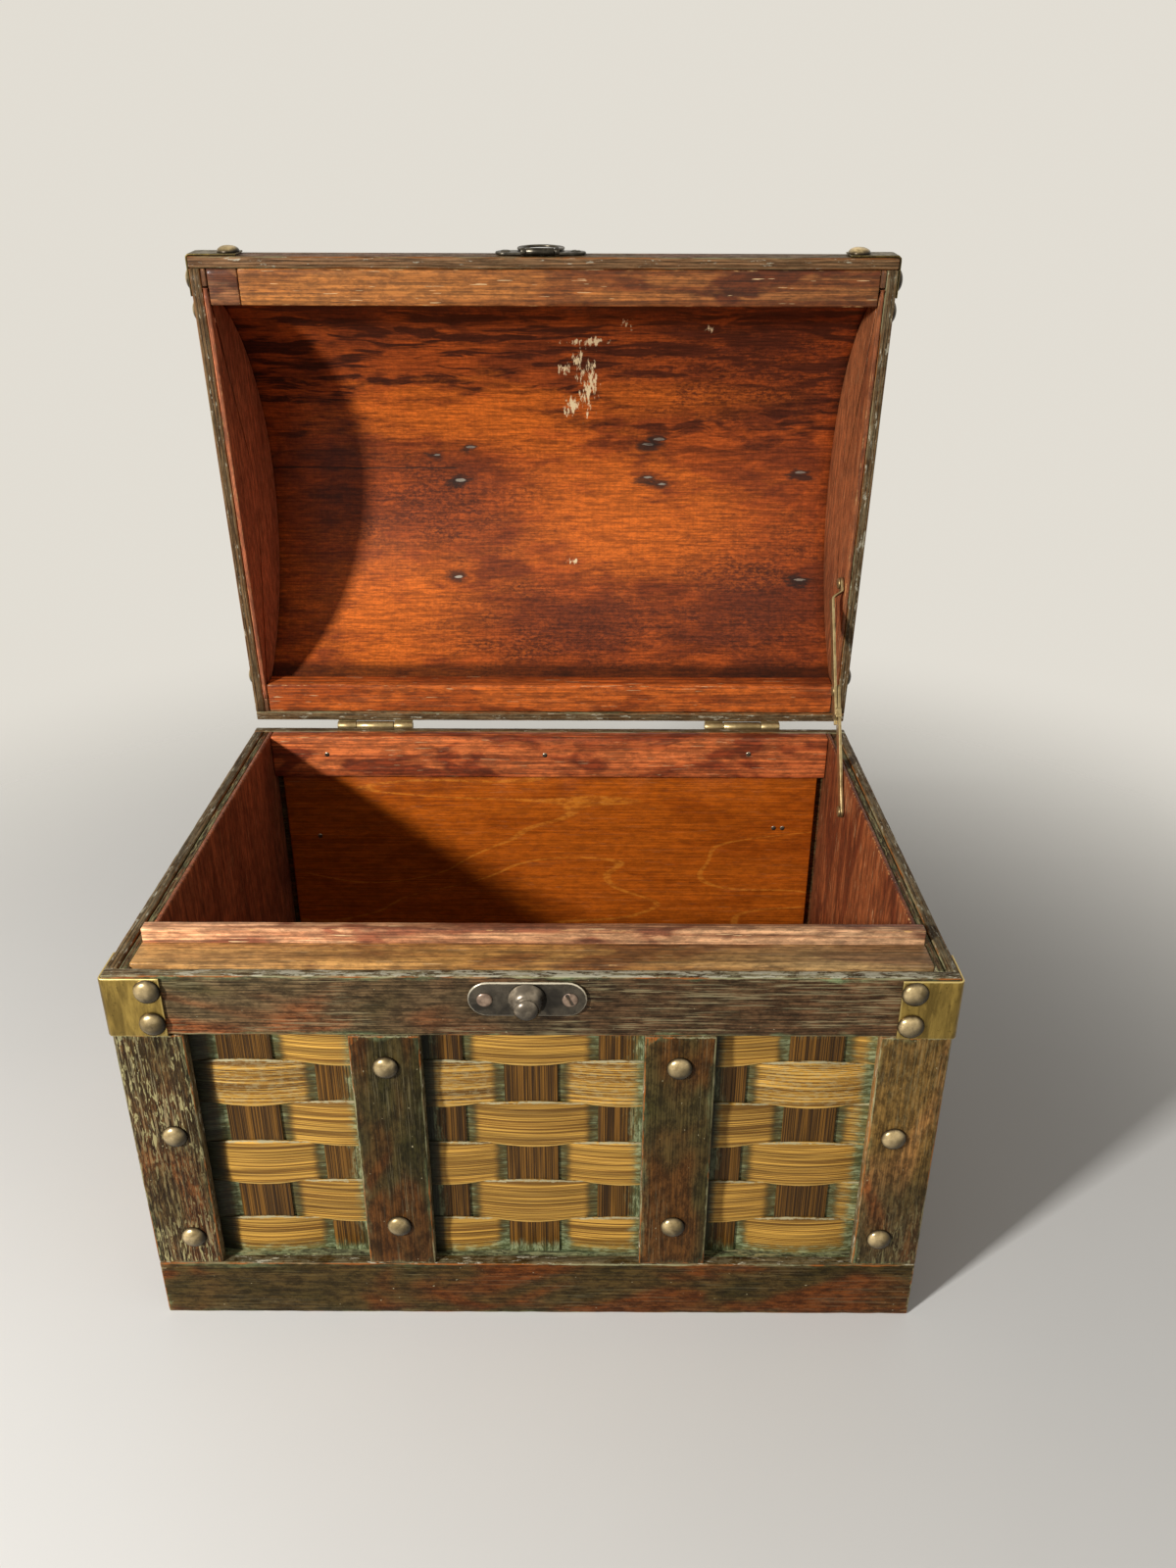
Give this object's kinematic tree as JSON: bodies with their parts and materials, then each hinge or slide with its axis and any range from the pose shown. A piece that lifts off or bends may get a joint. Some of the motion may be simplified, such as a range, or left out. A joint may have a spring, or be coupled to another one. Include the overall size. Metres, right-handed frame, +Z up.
{
  "type": "decorative storage chest",
  "caption": "Small trunk-shaped chest with a domed lid standing open on a folding stay; ply frames over plaited splint mats, brass nails, corner plates, hinges and a clasp.",
  "frame": {"origin": "middle of the underside of the body, on the surface that the chest stands on", "axes": "+X to the right of someone facing the front, +Y to the back, +Z up"},
  "size_m": [0.338, 0.334, 0.4291],
  "materials": {
    "dark_ply": "stained dark, rubbed through at the edges",
    "brown_ply": "varnished",
    "splint": "satin",
    "aged_brass": "tarnished",
    "dark_bronze": "dark patina"
  },
  "bodies": {
    "chest": {"back_board": "dark_ply", "back_lining": "brown_ply", "bottom_board": "brown_ply", "clasp_knob": "dark_bronze", "clasp_plate": "dark_bronze", "corner_plate_left": "aged_brass", "corner_plate_right": "aged_brass", "front_batten": "brown_ply", "front_board": "brown_ply", "front_rail_bottom": "dark_ply", "front_rail_top": "dark_ply", "front_stile_left": "dark_ply", "front_stile_mid_left": "dark_ply", "front_stile_mid_right": "dark_ply", "front_stile_right": "dark_ply", "front_weave": "splint", "hinge_body_leaf_left": "aged_brass", "hinge_body_leaf_right": "aged_brass", "hinge_pin_left": "aged_brass", "hinge_pin_right": "aged_brass", "left_rail_bottom": "dark_ply", "left_rail_top": "dark_ply", "left_stile_front": "dark_ply", "left_stile_mid": "dark_ply", "left_stile_rear": "dark_ply", "left_weave": "splint", "rear_batten": "brown_ply", "right_rail_bottom": "dark_ply", "right_rail_top": "dark_ply", "right_stile_front": "dark_ply", "right_stile_mid": "dark_ply", "right_stile_rear": "dark_ply", "right_weave": "splint", "side_lining_left": "brown_ply", "side_lining_right": "brown_ply", "stay_body_pivot": "aged_brass"},
    "lid": {"catch_plate": "dark_bronze", "dome_band_left": "dark_ply", "dome_band_mid_left": "dark_ply", "dome_band_mid_right": "dark_ply", "dome_band_right": "dark_ply", "dome_skin": "brown_ply", "dome_weave": "splint", "hasp_pin": "dark_bronze", "hinge_lid_leaf_left": "aged_brass", "hinge_lid_leaf_right": "aged_brass", "lid_corner_plate_left": "aged_brass", "lid_corner_plate_right": "aged_brass", "lid_end_left": "dark_ply", "lid_end_right": "dark_ply", "lid_front_batten": "brown_ply", "lid_front_rail": "dark_ply", "lid_lining_left": "brown_ply", "lid_lining_right": "brown_ply", "lid_rear_batten": "brown_ply", "lid_rear_rail": "dark_ply", "stay_lid_pivot": "aged_brass"},
    "hasp": {"hasp": "dark_bronze"},
    "stay_upper": {"stay_upper_arm": "aged_brass"},
    "stay_lower": {"stay_lower_arm": "aged_brass"}
  },
  "joints": [
    {"name": "lid_hinge", "type": "hinge", "parent": "chest", "child": "lid", "pos_m": [0, 0.1235, 0.181], "axis": [1, 0, 0], "range_deg": [0, 85.4]},
    {"name": "stay_lower_hinge", "type": "hinge", "parent": "chest", "child": "stay_lower", "pos_m": [0.15305, 0.0556, 0.1623], "axis": [1, 0, 0], "range_deg": [0, 130.5]},
    {"name": "stay_upper_hinge", "type": "hinge", "parent": "lid", "child": "stay_upper", "pos_m": [0.15625, 0.12382, 0.26429], "axis": [1, 0, 0], "range_deg": [-107.3, 0]},
    {"name": "hasp_hinge", "type": "hinge", "parent": "lid", "child": "hasp", "pos_m": [-0.0015, 0.10644, 0.42672], "axis": [1, 0, 0], "range_deg": [0, 180]}
  ],
  "couplings": [
    {"joint": "stay_lower_hinge", "follows": "lid_hinge", "ratio": 1.5275},
    {"joint": "stay_upper_hinge", "follows": "lid_hinge", "ratio": -1.256}
  ]
}
